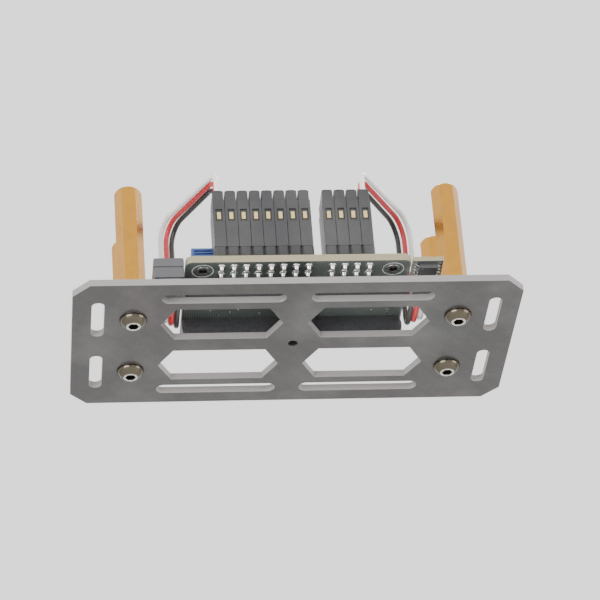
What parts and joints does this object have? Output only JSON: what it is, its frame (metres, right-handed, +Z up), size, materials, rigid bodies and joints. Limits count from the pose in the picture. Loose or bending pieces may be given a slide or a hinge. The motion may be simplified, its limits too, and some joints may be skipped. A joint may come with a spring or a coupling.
{
  "type": "flight controller board",
  "caption": "Flight controller board on a slotted carrier plate, with hexagonal standoffs, plugged leads, side modules, push buttons, trimmers and a pull-off jumper.",
  "frame": {"origin": "under the middle of the carrier plate, level with the outer faces of the carrier screw heads", "axes": "+Z up, out of the open ends of the standoffs towards the craft; +X along the plate; +Y from the plug side to the socket side"},
  "size_m": [0.092, 0.046, 0.0331],
  "materials": {
    "laminate": "glossy woven laminate, lighter on its cut walls",
    "screw_steel": "bright plated",
    "gold_anodised": "gold anodised",
    "gel": "soft matte gel",
    "foam": "matte adhesive foam",
    "board": "dark solder mask",
    "tin": "tinned",
    "gold_pin": "gold plated",
    "header_plastic": "moulded",
    "shunt_plastic": "moulded, blue",
    "plug_plastic": "moulded",
    "case_plastic": "moulded, dark grey",
    "white_plastic": "moulded, off-white",
    "chip_epoxy": "moulded epoxy",
    "sensor_lid": "satin",
    "switch_cover": "satin",
    "plunger": "moulded",
    "trim_plastic": "moulded, blue",
    "rotor_brass": "satin",
    "light_lens": "cloudy lens",
    "ceramic_cap": "fired ceramic with tinned ends",
    "resistor": "glazed with tinned ends",
    "tantalum": "moulded, ochre",
    "can_aluminium": "satin can",
    "wire_white": "soft insulation",
    "wire_red": "soft insulation",
    "wire_black": "soft insulation"
  },
  "bodies": {
    "carrier": {"board_eyelets": "tin", "boot_switch": "switch_cover", "capacitor_base": "header_plastic", "capacitor_can": "can_aluminium", "carrier_plate": "laminate", "carrier_screws": "screw_steel", "ceramic_caps": "ceramic_cap", "chip_resistors": "resistor", "circuit_board": "board", "compass_chip": "chip_epoxy", "crystal": "sensor_lid", "gel_block_far": "gel", "gel_strip_middle": "gel", "gel_strip_near": "gel", "header_pins": "gold_pin", "jumper_base": "header_plastic", "lead_left_black": "wire_black", "lead_left_red": "wire_red", "lead_left_white": "wire_white", "lead_right_black": "wire_black", "lead_right_red": "wire_red", "lead_right_white": "wire_white", "left_socket": "white_plastic", "long_header_base": "header_plastic", "long_plug": "plug_plastic", "memory_chip": "chip_epoxy", "memory_legs": "tin", "motion_sensor": "chip_epoxy", "pressure_sensor": "sensor_lid", "processor": "chip_epoxy", "processor_legs": "tin", "receiver_case": "case_plastic", "receiver_pad": "foam", "regulator": "chip_epoxy", "regulator_legs": "tin", "reset_switch": "switch_cover", "right_socket": "white_plastic", "short_header_base": "header_plastic", "short_plug": "plug_plastic", "socket_pins": "tin", "standoff_left_far": "gold_anodised", "standoff_left_near": "gold_anodised", "standoff_right_far": "gold_anodised", "standoff_right_near": "gold_anodised", "status_board": "board", "status_chip": "chip_epoxy", "status_chip_legs": "tin", "status_lights": "light_lens", "status_pad": "foam", "status_plug": "white_plastic", "tantalum_caps": "tantalum", "trim_housings": "trim_plastic", "usb_shell": "tin", "usb_tongue": "chip_epoxy"},
    "reset_button": {"reset_plunger": "plunger"},
    "boot_button": {"boot_plunger": "plunger"},
    "trimmer_a": {"trim_rotor_a": "rotor_brass"},
    "trimmer_b": {"trim_rotor_b": "rotor_brass"},
    "trimmer_c": {"trim_rotor_c": "rotor_brass"},
    "jumper": {"jumper_shunt": "shunt_plastic"}
  },
  "joints": [
    {"name": "reset_press", "type": "slide", "parent": "carrier", "child": "reset_button", "axis": [0, 0, -1], "range_m": [0, 0.00025], "stiffness_N_per_m": 400},
    {"name": "boot_press", "type": "slide", "parent": "carrier", "child": "boot_button", "axis": [0, 0, -1], "range_m": [0, 0.00025], "stiffness_N_per_m": 400},
    {"name": "trim_a_turn", "type": "hinge", "parent": "carrier", "child": "trimmer_a", "pos_m": [0.0059, 0.005, 0.01], "axis": [0, 0, 1], "range_deg": [-130, 130]},
    {"name": "trim_b_turn", "type": "hinge", "parent": "carrier", "child": "trimmer_b", "pos_m": [0.0106, 0.005, 0.01], "axis": [0, 0, 1], "range_deg": [-130, 130]},
    {"name": "trim_c_turn", "type": "hinge", "parent": "carrier", "child": "trimmer_c", "pos_m": [0.0153, 0.005, 0.01], "axis": [0, 0, 1], "range_deg": [-130, 130]},
    {"name": "jumper_pull", "type": "slide", "parent": "carrier", "child": "jumper", "axis": [0, 0, 1], "range_m": [0, 0.0065]}
  ]
}
